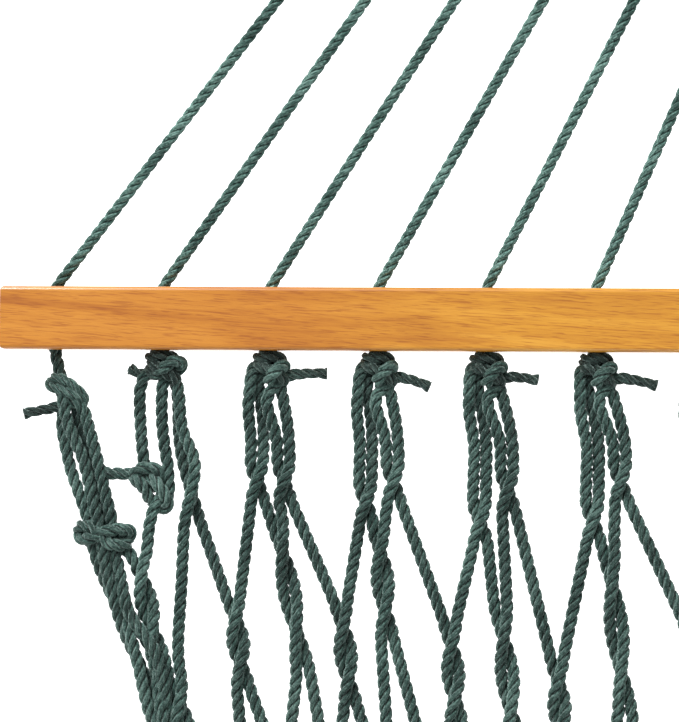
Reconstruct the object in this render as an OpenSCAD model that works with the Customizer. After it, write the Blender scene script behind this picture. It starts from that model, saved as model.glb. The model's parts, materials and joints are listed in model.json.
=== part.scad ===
// Rope hammock with two wooden spreader bars, hung on a steel floor stand.
// X runs along the hammock, Y across it, Z up. The origin is on the floor under the middle of the bed.
// Each end is drawn once, on the +X side, and mirrored for the other end.

/* [Spreader bars] */
// Length of each spreader bar
bar_length = 1397; // [1300:1:1450]
// Depth of a bar along its ropes
bar_depth = 34; // [28:0.1:36]
// Thickness of a bar across its ropes
bar_thick = 25.4; // [22:0.1:30]
// Radius of a bar's edges
bar_edge_r = 2.4; // [1:0.1:4]
// Number of rope holes in a bar, an even number
hole_count = 24; // [20:2:26]
// Distance from a bar's end to the middle of its first hole
hole_margin = 27.5; // [22:0.5:34]
// Diameter of a rope hole
hole_d = 8.2; // [7.6:0.1:9]

/* [Rope bed] */
// Diameter of the rope
rope_d = 6.4; // [5:0.1:7]
// Length of the rope bed along its curve, from bar to bar
bed_length = 2083; // [1950:1:2150]
// Slope of the bed where it meets a bar, in degrees
bed_slope = 27; // [22:0.5:30]
// How far each side of the bed pulls in at its middle
bed_waist = 195; // [150:5:230]
// Thickness of the netting
net_thick = 12; // [10:1:16]
// Diameter of the gathered ropes along each side
edge_d = 22; // [18:1:26]
// Diameter of the knots under the bars
knot_d = 26; // [22:1:30]
// Height of the knots under the bars
knot_h = 26; // [22:1:30]
// How much lower the knot of a bar's first and last hole hangs
edge_knot_drop = 15; // [8:1:20]

/* [Hanging hardware] */
// Slope of the ropes between a bar and its ring, in degrees
clew_slope = 28.5; // [26:0.5:31]
// Distance from a bar to the middle of its ring
clew_length = 846.5; // [820:0.1:870]
// Diameter of the ring, at the middle of its rod
ring_d = 85; // [80:1:95]
// Diameter of the ring's rod
ring_rod_d = 9.5; // [8:0.5:10]
// Diameter of the snap hook's rod
snap_rod_d = 8; // [7:0.5:8]
// Length of the snap hook, at the middle of its rod
snap_length = 72; // [70:1:80]
// Diameter of the chain's wire
link_wire_d = 5; // [4:0.5:5]
// Length of a chain link, at the middle of its wire
link_length = 29; // [28:1:32]
// Number of links in a chain, an even number
link_count = 4; // [2:2:6]
// Diameter of the S-hook's wire
s_wire_d = 7; // [6:0.5:7]
// Radius of the S-hook's bends, at the middle of its wire
s_bend_r = 12.5; // [12.5:0.5:14]
// Diameter of the eye bolt's rod
eye_rod_d = 10; // [8:0.5:10]
// Radius of the eye, at the middle of its rod
eye_r = 18; // [17:0.5:20]

/* [Stand] */
// Height of the line that the hammock swings about
swing_height = 1270; // [1230:5:1320]
// Outer diameter of the stand's main tubes
tube_d = 60; // [58:1:62]
// Wall thickness of the tubes
tube_wall = 2; // [2:0.1:2.5]
// Angle of the arms above the floor, in degrees
arm_angle = 56; // [54:1:60]
// Radius of the elbows, at the middle of the tube
bend_r = 220; // [200:5:240]
// Distance from the middle of the stand to each cross foot
foot_x = 985; // [900:5:990]
// Length of a cross foot without its caps
foot_length = 1180; // [1000:10:1300]
// Outer diameter of a cross foot
foot_d = 50; // [46:1:52]
// Outer diameter of the rubber caps
cap_d = 60; // [58:1:62]
// Length of the sleeve inside the middle joint
sleeve_length = 400; // [300:10:500]

/* [Hidden] */

// Running gaps: metal pieces that hang in each other, the S-hook in the eye, and tubes that slide into each other
touch = 0.15;
hook_gap = 1;
slip = 0.2;

// Bed: an arc of a circle in the XZ plane, with the lowest point at x = 0
bed_r = bed_length / 2 / (bed_slope * PI / 180);
bed_end_x = bed_r * sin(bed_slope);
bed_sag = bed_r * (1 - cos(bed_slope));

// Stations along the clew's own line, from the bar's outer face
ring_far = clew_length + ring_d / 2;
snap_low = ring_far - ring_rod_d / 2 - touch - snap_rod_d / 2;
snap_high = snap_low + snap_length;
chain_low = snap_high - snap_rod_d / 2 - touch - link_wire_d / 2;
link_pitch = link_length - link_wire_d - touch;
chain_high = chain_low + (link_count - 1) * link_pitch + link_length;
s_low = chain_high - link_wire_d / 2 - touch - s_wire_d / 2;
s_high = s_low + 4 * s_bend_r;
swing_s = s_high - s_wire_d / 2 - hook_gap - eye_rod_d / 2;

// The bar's outer face, the swing line and the eye's middle
bar_z = swing_height - swing_s * sin(clew_slope);
bar_x = bed_end_x + bar_depth * cos(clew_slope);
bed_end_z = bar_z - bar_depth * sin(clew_slope);
bed_center_z = bed_end_z - bed_sag + bed_r;
swing_x = bar_x + swing_s * cos(clew_slope);
eye_x = swing_x + eye_r * cos(clew_slope);
eye_z = swing_height + eye_r * sin(clew_slope);

// Holes and rope loops
hole_pitch = (bar_length - 2 * hole_margin) / (hole_count - 1);
loop_count = hole_count / 2;
rope_lift = (ring_rod_d + rope_d) / 2 + touch;
loop_step = (rope_d + 0.3) / (ring_d / 2 - rope_lift) * 180 / PI;
rope_exit = rope_d / 2 + 0.4;
knot_gap = 2;

// Stand
ear_gap = 0.4;
cap_flat = 2;
foot_z = cap_d / 2 - cap_flat;
base_z = foot_z + (foot_d + tube_d) / 2 + ear_gap;
end_gap = 0.5;
nut_h = 6.5;
washer_h = 2;
eye_neck = 5.5;
eye_reach = tube_d / 2 + washer_h + nut_h + eye_neck + eye_r;
arm_x = eye_x + eye_reach * sin(arm_angle);
arm_z = eye_z - eye_reach * cos(arm_angle);
arm_top = 70;
bend_end_z = base_z + bend_r * (1 - cos(arm_angle));
arm_run = (arm_z - bend_end_z) / sin(arm_angle);
bend_start_x = arm_x - arm_run * cos(arm_angle) - bend_r * sin(arm_angle);
stub = 40;
spigot = 80;
spigot_d = tube_d - 2 * tube_wall - 2 * slip;
spigot_bolt = spigot / 2;
arm_split = -arm_run / 2 + 60;
sleeve_bolts = [60, 150];
elbow_bolt_x = bend_start_x - stub - spigot_bolt;
bolt_d = 8;
bolt_slack = 0.6;
bolt_hole_d = bolt_d + bolt_slack;
foot_bolt_d = 10;
hex_ratio = 1.9;
ear_thick = 4;
ear_w = 56;
foot_bolt_reach = tube_d / 2 + ear_gap + ear_thick;

// Snap hook: the radius of its ends, and its gate
snap_r = 12;
gate_d = 7;
gate_low = 19;
gate_pivot = snap_length - 15;
tongue_t = 2.8;
tongue_h = 5.2;
pin_d = 3;

steel = [0.10, 0.11, 0.11];
zinc = [0.72, 0.73, 0.75];
rubber = [0.05, 0.05, 0.05];
rope_green = [0.22, 0.34, 0.31];
oak = [0.84, 0.56, 0.24];

function hole_y(i) = bar_length / 2 - hole_margin - i * hole_pitch;
function unit(v) = v / norm(v);

// Points of a bed station: a is the angle from the middle of the arc, lift is the height over its surface
function bed_point(a, y, lift) =
    [(bed_r - lift) * sin(a), y, bed_center_z - (bed_r - lift) * cos(a)];
function side_y(a) = hole_y(0) - bed_waist * (1 - pow(sin(a) / sin(bed_slope), 2));
// Angle that a length along the bed's curve takes
function bed_angle(length) = length / bed_r * 180 / PI;

// Frames: mirrored end, line of the clew, and line of an arm
module other_end() { mirror([1, 0, 0]) children(); }
module at_clew(s = 0) { translate([bar_x, 0, bar_z]) rotate([0, -clew_slope, 0]) translate([s, 0, 0]) children(); }
module at_arm(s = 0) { translate([arm_x, 0, arm_z]) rotate([0, -arm_angle, 0]) translate([s, 0, 0]) children(); }

// A closed round sweep through a list of points. side is never parallel to the route.
module sweep(points, d, sides, side) {
    last = len(points) - 1;
    rings = [for (i = [0:last])
        let (t = unit((i == 0 ? [0, 0, 0] : unit(points[i] - points[i - 1]))
                    + (i == last ? [0, 0, 0] : unit(points[i + 1] - points[i]))),
             b = unit(cross(t, side)),
             a = cross(b, t))
        for (k = [0:sides - 1]) points[i] + d / 2 * (cos(360 * k / sides) * a + sin(360 * k / sides) * b)];
    walls = [for (i = [0:last - 1]) for (k = [0:sides - 1])
        let (n = (k + 1) % sides, p = i * sides)
        each [[p + k, p + sides + n, p + n], [p + k, p + sides + k, p + sides + n]]];
    ends = [[for (k = [0:sides - 1]) k], [for (k = [sides - 1:-1:0]) last * sides + k]];
    polyhedron(points = rings, faces = concat(walls, ends));
}

// A tube along +X
module tube(length, d, wall) {
    rotate([0, 90, 0]) difference() {
        cylinder(d = d, h = length, $fn = 96);
        translate([0, 0, -1]) cylinder(d = d - 2 * wall, h = length + 2, $fn = 96);
    }
}

// A tube's spigot along +X, with a root that is welded inside the tube it belongs to
module spigot_tube() {
    root = 20;
    weld_w = 12;
    weld_depth = slip + tube_wall / 3;
    rotate([0, 90, 0]) rotate_extrude($fn = 96) translate([spigot_d / 2 - tube_wall, -root]) {
        square([tube_wall, spigot + root]);
        square([tube_wall + weld_depth, weld_w]);
    }
}

// A straight rod along +X
module rod(length, d) { rotate([0, 90, 0]) cylinder(d = d, h = length, $fn = 48); }

// A bent rod in the XY plane, round the origin, from angle a0 through sweep angle a
module bow(r, d, a0, a) { rotate([0, 0, a0]) rotate_extrude(angle = a, $fn = 96) translate([r, 0]) circle(d = d, $fn = 48); }

// Cuts through a tube, across it along Y
module cross_bore(d) { rotate([90, 0, 0]) cylinder(d = d, h = 2 * tube_d, center = true, $fn = 48); }

module base_tube() {
    color(steel) difference() {
        translate([end_gap, 0, base_z]) tube(bend_start_x - stub - 2 * end_gap, tube_d, tube_wall);
        for (x = concat(sleeve_bolts, [elbow_bolt_x])) translate([x, 0, base_z]) cross_bore(bolt_hole_d);
        translate([foot_x, 0, base_z]) cross_bore(foot_bolt_d + bolt_slack);
    }
}
module base_tube_head() { base_tube(); }
module base_tube_foot() { other_end() base_tube(); }

module base_sleeve() {
    color(steel) difference() {
        translate([-sleeve_length / 2, 0, base_z]) tube(sleeve_length, spigot_d, tube_wall);
        for (x = sleeve_bolts, side = [-1, 1]) translate([side * x, 0, base_z]) cross_bore(bolt_hole_d);
    }
}

module elbow() {
    color(steel) difference() {
        union() {
            translate([bend_start_x - stub, 0, base_z]) tube(stub, tube_d, tube_wall);
            translate([bend_start_x, 0, base_z + bend_r]) rotate([90, 0, 0]) rotate([0, 0, -90])
                rotate_extrude(angle = arm_angle, $fn = 96) translate([bend_r, 0]) difference() {
                    circle(d = tube_d, $fn = 96);
                    circle(d = tube_d - 2 * tube_wall, $fn = 96);
                }
            at_arm(-arm_run) tube(stub, tube_d, tube_wall);
            at_arm(-arm_run + stub) spigot_tube();
            translate([bend_start_x - stub, 0, base_z]) mirror([1, 0, 0]) spigot_tube();
        }
        translate([elbow_bolt_x, 0, base_z]) cross_bore(bolt_hole_d);
        at_arm(-arm_run + stub + spigot_bolt) cross_bore(bolt_hole_d);
    }
}
module elbow_head() { elbow(); }
module elbow_foot() { other_end() elbow(); }

module arm_lower() {
    color(steel) at_arm() difference() {
        union() {
            translate([-arm_run + stub + end_gap, 0, 0]) tube(arm_run - stub - end_gap + arm_split, tube_d, tube_wall);
            translate([arm_split, 0, 0]) spigot_tube();
        }
        for (s = [-arm_run + stub, arm_split]) translate([s + spigot_bolt, 0, 0]) cross_bore(bolt_hole_d);
    }
}
module arm_lower_head() { arm_lower(); }
module arm_lower_foot() { other_end() arm_lower(); }

module arm_upper() {
    color(steel) at_arm() difference() {
        translate([arm_split + end_gap, 0, 0]) tube(arm_top - arm_split - end_gap, tube_d, tube_wall);
        translate([arm_split + spigot_bolt, 0, 0]) cross_bore(bolt_hole_d);
        cylinder(d = eye_rod_d + bolt_slack, h = 2 * tube_d, center = true, $fn = 48);
    }
}
module arm_upper_head() { arm_upper(); }
module arm_upper_foot() { other_end() arm_upper(); }

// A plug with a low domed top
module arm_cap() {
    plug_h = 22;
    rim_h = 4;
    dome_h = 6;
    dome_r = 62;
    color(rubber) at_arm(arm_top) rotate([0, 90, 0]) {
        translate([0, 0, -plug_h]) cylinder(d = spigot_d, h = plug_h, $fn = 96);
        cylinder(d = tube_d, h = rim_h, $fn = 96);
        intersection() {
            translate([0, 0, rim_h / 2]) cylinder(d = tube_d - 2, h = rim_h + dome_h, $fn = 96);
            translate([0, 0, rim_h + dome_h - dome_r]) sphere(r = dome_r, $fn = 96);
        }
    }
}
module arm_cap_head() { arm_cap(); }
module arm_cap_foot() { other_end() arm_cap(); }

// A cross foot with the two welded ears that hold the base tube
module cross_foot() {
    ear_y = tube_d / 2 + ear_gap;
    ear_z = foot_z + foot_d / 2 - 8;
    color(steel) translate([foot_x, 0, 0]) difference() {
        union() {
            translate([0, -foot_length / 2, foot_z]) rotate([0, 0, 90]) tube(foot_length, foot_d, tube_wall);
            for (side = [-1, 1]) translate([0, side * (ear_y + ear_thick / 2), 0]) {
                translate([-ear_w / 2, -ear_thick / 2, ear_z]) cube([ear_w, ear_thick, base_z - ear_z]);
                translate([0, ear_thick / 2, base_z]) rotate([90, 0, 0])
                    cylinder(d = ear_w, h = ear_thick, $fn = 96);
            }
        }
        translate([0, 0, base_z]) cross_bore(foot_bolt_d + bolt_slack);
        rotate([0, 0, 90]) translate([-foot_length / 2 - 1, 0, foot_z]) rod(foot_length + 2, foot_d - 2 * tube_wall);
    }
}
module cross_foot_head() { cross_foot(); }
module cross_foot_foot() { other_end() cross_foot(); }

// A cap over a cross foot's end, cut flat where it stands on the floor
module rubber_foot(side) {
    cap_length = 75;
    end_wall = 6;
    color(rubber) translate([foot_x, side * (foot_length / 2 + end_wall), 0]) rotate([0, 0, side > 0 ? 180 : 0])
        rotate([0, 0, 90]) difference() {
            translate([0, 0, foot_z]) rod(cap_length, cap_d);
            translate([end_wall, 0, foot_z]) rod(cap_length, foot_d + 2 * slip);
            translate([-1, -cap_d, -cap_d]) cube([cap_length + 2, 2 * cap_d, cap_d]);
        }
}
module rubber_foot_head_left() { rubber_foot(1); }
module rubber_foot_head_right() { rubber_foot(-1); }
module rubber_foot_foot_left() { other_end() rubber_foot(1); }
module rubber_foot_foot_right() { other_end() rubber_foot(-1); }

// The bolted joints of one half of the stand, each across its tube
module at_tube_joints() {
    for (x = concat(sleeve_bolts, [elbow_bolt_x])) translate([x, 0, base_z]) children();
    for (s = [-arm_run + stub, arm_split]) at_arm(s + spigot_bolt) children();
}

// A hex bolt across a joint, with its head on the -Y side, and its domed nut
module joint_bolt(d, reach) {
    head_h = 5.3;
    past_tube = 7;
    rotate([-90, 0, 0]) translate([0, 0, -reach - touch - head_h]) {
        cylinder(d = hex_ratio * d, h = head_h, $fn = 6);
        cylinder(d = d, h = head_h + 2 * reach + past_tube, $fn = 48);
    }
}
module joint_nut(d, reach) {
    thread_slack = 0.1;
    thread_depth = 7.4;
    rotate([-90, 0, 0]) translate([0, 0, reach + touch]) difference() {
        union() {
            cylinder(d = hex_ratio * d, h = nut_h, $fn = 6);
            translate([0, 0, nut_h - 1]) intersection() {
                cylinder(d = 1.55 * d, h = d, $fn = 48);
                sphere(d = 1.62 * d, $fn = 48);
            }
        }
        translate([0, 0, -1]) cylinder(d = d + thread_slack, h = thread_depth + 1, $fn = 48);
    }
}
module both_ends() { children(); other_end() children(); }
module tube_bolts() { color(zinc) both_ends() at_tube_joints() joint_bolt(bolt_d, tube_d / 2); }
module tube_nuts() { color(zinc) both_ends() at_tube_joints() joint_nut(bolt_d, tube_d / 2); }

module foot_bolts() {
    color(zinc) both_ends() translate([foot_x, 0, base_z]) joint_bolt(foot_bolt_d, foot_bolt_reach);
}
module foot_nuts() {
    color(zinc) both_ends() translate([foot_x, 0, base_z]) joint_nut(foot_bolt_d, foot_bolt_reach);
}

// An eye bolt square through an arm. Its eye lies in the XZ plane.
module eye_bolt() {
    past_nut = 6;
    shank = eye_reach + tube_d / 2 + washer_h + nut_h + past_nut;
    color(zinc) at_arm() translate([0, 0, eye_reach]) {
        rotate([90, 0, 0]) bow(eye_r, eye_rod_d, 0, 360);
        translate([0, 0, -shank]) cylinder(d = eye_rod_d, h = shank - eye_r, $fn = 48);
    }
}
module eye_bolt_head() { eye_bolt(); }
module eye_bolt_foot() { other_end() eye_bolt(); }

module washer() {
    difference() {
        cylinder(d = 24, h = washer_h, $fn = 64);
        translate([0, 0, -1]) cylinder(d = eye_rod_d + 0.4, h = washer_h + 2, $fn = 64);
    }
}
module nut() {
    difference() {
        cylinder(d = 19, h = nut_h, $fn = 6);
        translate([0, 0, -1]) cylinder(d = eye_rod_d + 0.1, h = nut_h + 2, $fn = 64);
    }
}
module eye_washers() {
    color(zinc) both_ends() at_arm() for (side = [0, 1]) mirror([0, 0, side])
        translate([0, 0, tube_d / 2 + touch]) washer();
}
module eye_nuts() {
    color(zinc) both_ends() at_arm() for (side = [0, 1]) mirror([0, 0, side])
        translate([0, 0, tube_d / 2 + washer_h + 2 * touch]) nut();
}

// Two bends that meet at the middle
module s_hook() {
    bend = 275;
    color(zinc) {
        at_clew(s_high - s_bend_r) bow(s_bend_r, s_wire_d, 180, -bend);
        at_clew(s_low + s_bend_r) bow(s_bend_r, s_wire_d, 0, -bend);
    }
}
module s_hook_head() { s_hook(); }
module s_hook_foot() { other_end() s_hook(); }

module link() {
    r = 1.5 * link_wire_d;
    run = link_length - 2 * r;
    for (side = [0, 1]) translate([link_length / 2, 0, 0]) rotate([0, 0, 180 * side]) {
        translate([run / 2, 0, 0]) bow(r, link_wire_d, -90, 180);
        translate([-run / 2, r, 0]) rod(run, link_wire_d);
    }
}
module chain() {
    color(zinc) for (i = [0:link_count - 1])
        at_clew(chain_low + i * link_pitch) rotate([90 * (i % 2), 0, 0]) link();
}
module chain_head() { chain(); }
module chain_foot() { other_end() chain(); }

// Snap hook: a long bow in the XZ plane, open on its upper side for the gate
module at_gate_pivot() { at_clew(snap_low + gate_pivot) translate([0, 0, snap_r]) children(); }
module snap_hook() {
    color(zinc) difference() {
        at_clew(snap_low) rotate([90, 0, 0]) {
            translate([snap_r, 0, 0]) bow(snap_r, snap_rod_d, 90, 180);
            translate([snap_length - snap_r, 0, 0]) bow(snap_r, snap_rod_d, -90, 180);
            translate([snap_r, -snap_r, 0]) rod(snap_length - 2 * snap_r, snap_rod_d);
            translate([snap_r, snap_r, 0]) rod(gate_low - snap_r, snap_rod_d);
            translate([gate_pivot, snap_r, -tongue_t / 2]) {
                translate([0, -tongue_h / 2, 0]) cube([snap_length - snap_r - gate_pivot + 2, tongue_h, tongue_t]);
                cylinder(d = tongue_h, h = tongue_t, $fn = 48);
            }
        }
        at_gate_pivot() rotate([90, 0, 0]) cylinder(d = pin_d, h = 2 * gate_d, center = true, $fn = 48);
    }
}
module snap_hook_head() { snap_hook(); }
module snap_hook_foot() { other_end() snap_hook(); }

// The gate reaches from the nose to just past its pin and is forked over the hook's tongue
module snap_gate() {
    nose_gap = 0.4;
    tail = 2.9;
    fork = 4.2;
    length = gate_pivot - gate_low - nose_gap;
    color(zinc) at_gate_pivot() difference() {
        union() {
            translate([-length, 0, 0]) rod(length, gate_d);
            intersection() {
                rod(tail, gate_d);
                rotate([90, 0, 0]) cylinder(r = tail, h = gate_d, center = true, $fn = 48);
            }
        }
        translate([-fork, -tongue_t / 2 - slip, -gate_d]) cube([fork + gate_d, tongue_t + 2 * slip, 2 * gate_d]);
        rotate([90, 0, 0]) cylinder(d = pin_d + 0.1, h = 2 * gate_d, center = true, $fn = 48);
    }
}
module snap_gate_head() { snap_gate(); }
module snap_gate_foot() { other_end() snap_gate(); }

module gate_pin() {
    color(zinc) at_gate_pivot() rotate([90, 0, 0]) cylinder(d = pin_d, h = gate_d - 0.6, center = true, $fn = 48);
}
module gate_pin_head() { gate_pin(); }
module gate_pin_foot() { other_end() gate_pin(); }

module ring() { color(zinc) at_clew(clew_length) bow(ring_d / 2, ring_rod_d, 0, 360); }
module ring_head() { ring(); }
module ring_foot() { other_end() ring(); }

// One rope serves two neighbouring holes: up from a knot, over the ring and back down
module clew_rope(k) {
    turn = (k - (loop_count - 1) / 2) * loop_step;
    spoke = [cos(turn), sin(turn), 0];
    on_ring = [clew_length, 0, 0] - ring_d / 2 * spoke;
    function leg(i) = [[-bar_depth - knot_gap, hole_y(i), 0], [0, hole_y(i), 0], [rope_exit, hole_y(i), 0]];
    up = leg(2 * k);
    down = leg(2 * k + 1);
    over = [for (a = [90:-36:-90]) on_ring + rope_lift * (cos(a) * spoke + sin(a) * [0, 0, 1])];
    sweep(concat(up, over, [down[2], down[1], down[0]]), rope_d, 8, [-spoke[1], spoke[0], 0]);
}
module clew_ropes() { color(rope_green) at_clew() for (k = [0:loop_count - 1]) clew_rope(k); }
module clew_ropes_head() { clew_ropes(); }
module clew_ropes_foot() { other_end() clew_ropes(); }

// A rectangle with round corners
module round_rect(x, y, r) {
    square([x - 2 * r, y], center = true);
    square([x, y - 2 * r], center = true);
    for (a = [-1, 1], b = [-1, 1]) translate([a * (x / 2 - r), b * (y / 2 - r)]) circle(r = r, $fn = 32);
}
module spreader_bar() {
    color(oak) at_clew(-bar_depth / 2) difference() {
        intersection() {
            rotate([90, 0, 0]) linear_extrude(bar_length, center = true) round_rect(bar_depth, bar_thick, bar_edge_r);
            linear_extrude(bar_thick + 1, center = true) round_rect(bar_depth, bar_length, bar_edge_r);
        }
        for (i = [0:hole_count - 1])
            translate([-bar_depth, hole_y(i), 0]) rotate([0, 90, 0]) cylinder(d = hole_d, h = 2 * bar_depth, $fn = 48);
    }
}
module spreader_bar_head() { spreader_bar(); }
module spreader_bar_foot() { other_end() spreader_bar(); }

// Each knot is a round-shouldered lump around the rope's end
module bar_knot() {
    shoulder = 6;
    rotate([0, -90, 0]) rotate_extrude($fn = 64) {
        square([knot_d / 2 - shoulder, knot_h]);
        translate([0, shoulder]) square([knot_d / 2, knot_h - 2 * shoulder]);
        for (y = [shoulder, knot_h - shoulder]) translate([knot_d / 2 - shoulder, y]) circle(r = shoulder, $fn = 48);
    }
}
module bar_knots() {
    color(rope_green) at_clew() for (i = [0:hole_count - 1]) translate([-bar_depth - knot_gap, hole_y(i), 0])
        if (i == 0 || i == hole_count - 1) {
            translate([-edge_knot_drop, 0, 0]) bar_knot();
            translate([-edge_knot_drop, 0, 0]) rod(edge_knot_drop - touch, rope_d);
        }
        else translate([-touch, 0, 0]) bar_knot();
}
module bar_knots_head() { bar_knots(); }
module bar_knots_foot() { other_end() bar_knots(); }

// The netting between the knots, as one thin curved sheet
module net_bed() {
    stations = 40;
    reach = bed_slope - bed_angle(knot_gap + knot_h + 3);
    function half_width(a) = side_y(a) - edge_d / 2 - 1;
    points = [for (i = [0:stations]) let (a = reach * (2 * i / stations - 1), w = half_width(a))
        each [bed_point(a, -w, -net_thick / 2), bed_point(a, w, -net_thick / 2),
              bed_point(a, w, net_thick / 2), bed_point(a, -w, net_thick / 2)]];
    walls = [for (i = [0:stations - 1], k = [0:3]) let (n = (k + 1) % 4, p = 4 * i)
        each [[p + k, p + n, p + 4 + n], [p + k, p + 4 + n, p + 4 + k]]];
    color(rope_green) polyhedron(points = points, faces = concat(walls, [[3, 2, 1, 0],
        [for (k = [0:3]) 4 * stations + k]]));
}

// The gathered ropes along one side
module net_edge(side) {
    stations = 36;
    reach = bed_slope - bed_angle(knot_gap + edge_knot_drop + knot_h + 4);
    color(rope_green) sweep([for (i = [0:stations]) let (a = reach * (2 * i / stations - 1))
        bed_point(a, side * side_y(a), 0)], edge_d, 10, [0, side, 0]);
}
module net_edge_left() { net_edge(1); }
module net_edge_right() { net_edge(-1); }

base_tube_head();
base_tube_foot();
base_sleeve();
elbow_head();
elbow_foot();
arm_lower_head();
arm_lower_foot();
arm_upper_head();
arm_upper_foot();
arm_cap_head();
arm_cap_foot();
cross_foot_head();
cross_foot_foot();
rubber_foot_head_left();
rubber_foot_head_right();
rubber_foot_foot_left();
rubber_foot_foot_right();
tube_bolts();
tube_nuts();
foot_bolts();
foot_nuts();
eye_bolt_head();
eye_bolt_foot();
eye_washers();
eye_nuts();
s_hook_head();
s_hook_foot();
chain_head();
chain_foot();
snap_hook_head();
snap_hook_foot();
snap_gate_head();
snap_gate_foot();
gate_pin_head();
gate_pin_foot();
ring_head();
ring_foot();
clew_ropes_head();
clew_ropes_foot();
spreader_bar_head();
spreader_bar_foot();
bar_knots_head();
bar_knots_foot();
net_bed();
net_edge_left();
net_edge_right();
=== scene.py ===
import json
import math

import bpy
import numpy as np
from mathutils import Matrix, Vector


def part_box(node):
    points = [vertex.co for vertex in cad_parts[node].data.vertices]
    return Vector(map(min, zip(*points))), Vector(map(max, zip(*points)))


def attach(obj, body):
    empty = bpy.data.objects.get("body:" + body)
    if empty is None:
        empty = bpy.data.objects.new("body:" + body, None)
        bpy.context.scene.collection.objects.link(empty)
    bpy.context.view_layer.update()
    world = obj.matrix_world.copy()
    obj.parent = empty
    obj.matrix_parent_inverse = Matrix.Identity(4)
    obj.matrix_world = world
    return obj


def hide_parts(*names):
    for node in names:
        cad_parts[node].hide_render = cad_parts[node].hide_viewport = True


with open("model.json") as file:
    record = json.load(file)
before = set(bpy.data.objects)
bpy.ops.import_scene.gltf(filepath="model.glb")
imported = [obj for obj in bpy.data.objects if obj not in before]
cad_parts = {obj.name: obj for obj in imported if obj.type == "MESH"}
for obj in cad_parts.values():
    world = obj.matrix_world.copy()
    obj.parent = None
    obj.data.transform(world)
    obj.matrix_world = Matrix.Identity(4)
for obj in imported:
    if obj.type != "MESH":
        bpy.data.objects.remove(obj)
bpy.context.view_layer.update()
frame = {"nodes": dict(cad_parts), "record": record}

# ---- Dimensions that part.scad also holds, in metres ----
BAR_DEPTH = 0.034
HOLE_COUNT = 24
HOLE_MARGIN = 0.0275
ROPE_R = 0.0032
BED_LENGTH = 2.083
BED_SLOPE = math.radians(27)
EDGE_R = 0.011
RING_ROD_R = 0.00475
MM = 0.001

# ---- Ropes ----
# A strand goes once round its rope in ROPE_LAY, and a rope's rings are STEP apart.
ROPE_LAY = 0.0188
STEP = ROPE_LAY / 15
# The ropes look slimmer where they are taut. A groove of 1 is as deep as between three round strands.
CLEW_R, CLEW_GROOVE = 0.0031, 0.35
NET_R, NET_GROOVE = 0.0035, 0.6
KNOT_R, EDGE_KNOT_R = 0.0035, 0.0029
# The strands press each other flatter than round: 1 is round, less is squarer
SQUARENESS = 0.68
# Twists between neighbouring strands: their levels along the bed, and the radius of their winding
LEVELS = 25
FIRST_LEVEL = 0.078
TWIST_R = 0.0035
level_gap = (BED_LENGTH - 2 * FIRST_LEVEL) / (LEVELS - 1)
# The bed is modelled more finely down to here
NEAR_U = 0.24
# The holes that show best, counted from the +Y end, and how many holes share one piece of netting
NEAR_HOLES = 7
HOLES_A_PIECE = 3

# ---- Colours and light ----
ROPE_DARK, ROPE_GREEN, ROPE_PALE = (0.004, 0.017, 0.013), (0.030, 0.069, 0.058), (0.120, 0.205, 0.178)
# How much paler the clew ropes are painted than the netting: painted light, for taut ropes that hang clear
# of the netting's shade
CLEW_PAINTED_LIGHT = 1.9
OAK_DARK, OAK_MID, OAK_LIGHT = (0.39, 0.122, 0.005), (0.48, 0.172, 0.009), (0.535, 0.208, 0.017)
SKY, FLOOR_GLOW = 0.5, 0.5
KEY_POWER, KEY_SIZE, KEY_DISTANCE = 150, 1.2, 4.0
RIM_POWER, FILL_POWER = 100, 70

rng = np.random.default_rng(7)


def box_centre(node):
    low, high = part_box(node)
    return (np.array(low) + np.array(high)) / 2


def unit(v):
    return v / np.linalg.norm(v)


# ---- Places taken from the frame ----
bar_mid = box_centre("spreader_bar_head")
ring_mid = box_centre("ring_head")
BAR_HALF = float(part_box("spreader_bar_head")[1][1])
clew_dir = unit(ring_mid - bar_mid)
clew_up = np.array([-clew_dir[2], 0.0, clew_dir[0]])
clew_length = float(np.linalg.norm(ring_mid - bar_mid)) - BAR_DEPTH / 2
bed_r = BED_LENGTH / 2 / BED_SLOPE
bed_end = bar_mid - clew_dir * BAR_DEPTH / 2
bed_centre_z = bed_end[2] + bed_r * math.cos(BED_SLOPE)
hole_pitch = (2 * BAR_HALF - 2 * HOLE_MARGIN) / (HOLE_COUNT - 1)
edge_y = BAR_HALF - HOLE_MARGIN
bed_waist = edge_y - (float(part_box("net_edge_left")[0][1]) + EDGE_R)
ring_r = float(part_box("ring_head")[1][1]) - RING_ROD_R


def placed(right, up, back, place):
    """The matrix of an object whose own axes are right, up and back."""
    return Matrix([[right[k], up[k], back[k], place[k]] for k in range(3)] + [[0, 0, 0, 1]])


# ---- Camera ----
def look_camera():
    """A long lens over the bed, nearly square to the plane of the clew, on the corner at the +Y end of the
    head bar."""
    distance, seen_height = 1.4, 0.3882
    yaw, pitch, roll = (math.radians(a) for a in (4.08, -2.17, 0.48))
    across = np.array([0, -1.0, 0])
    # The middle of the picture is this far in from the bar's +Y end and down from the bar's outer face
    inward, below = 0.1827, 0.0391
    aim = bar_mid * [1, 0, 1] + np.array([0, BAR_HALF - inward, 0]) + clew_dir * (BAR_DEPTH / 2 - below)
    cam = bpy.data.cameras.new("camera")
    cam.sensor_fit = "VERTICAL"
    cam.sensor_height = 24
    cam.lens = 24 * distance / seen_height
    cam.clip_start = 0.1
    cam.clip_end = 500
    ob = bpy.data.objects.new("camera", cam)
    bpy.context.scene.collection.objects.link(ob)
    back = math.sin(yaw) * across + math.cos(yaw) * clew_up
    back = back * math.cos(pitch) + math.sin(pitch) * clew_dir
    level = math.cos(yaw) * across - math.sin(yaw) * clew_up
    rise = np.cross(back, level)
    right = level * math.cos(roll) + rise * math.sin(roll)
    ob.matrix_world = placed(right, np.cross(back, right), back, aim + back * distance)
    bpy.context.scene.camera = ob


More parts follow.
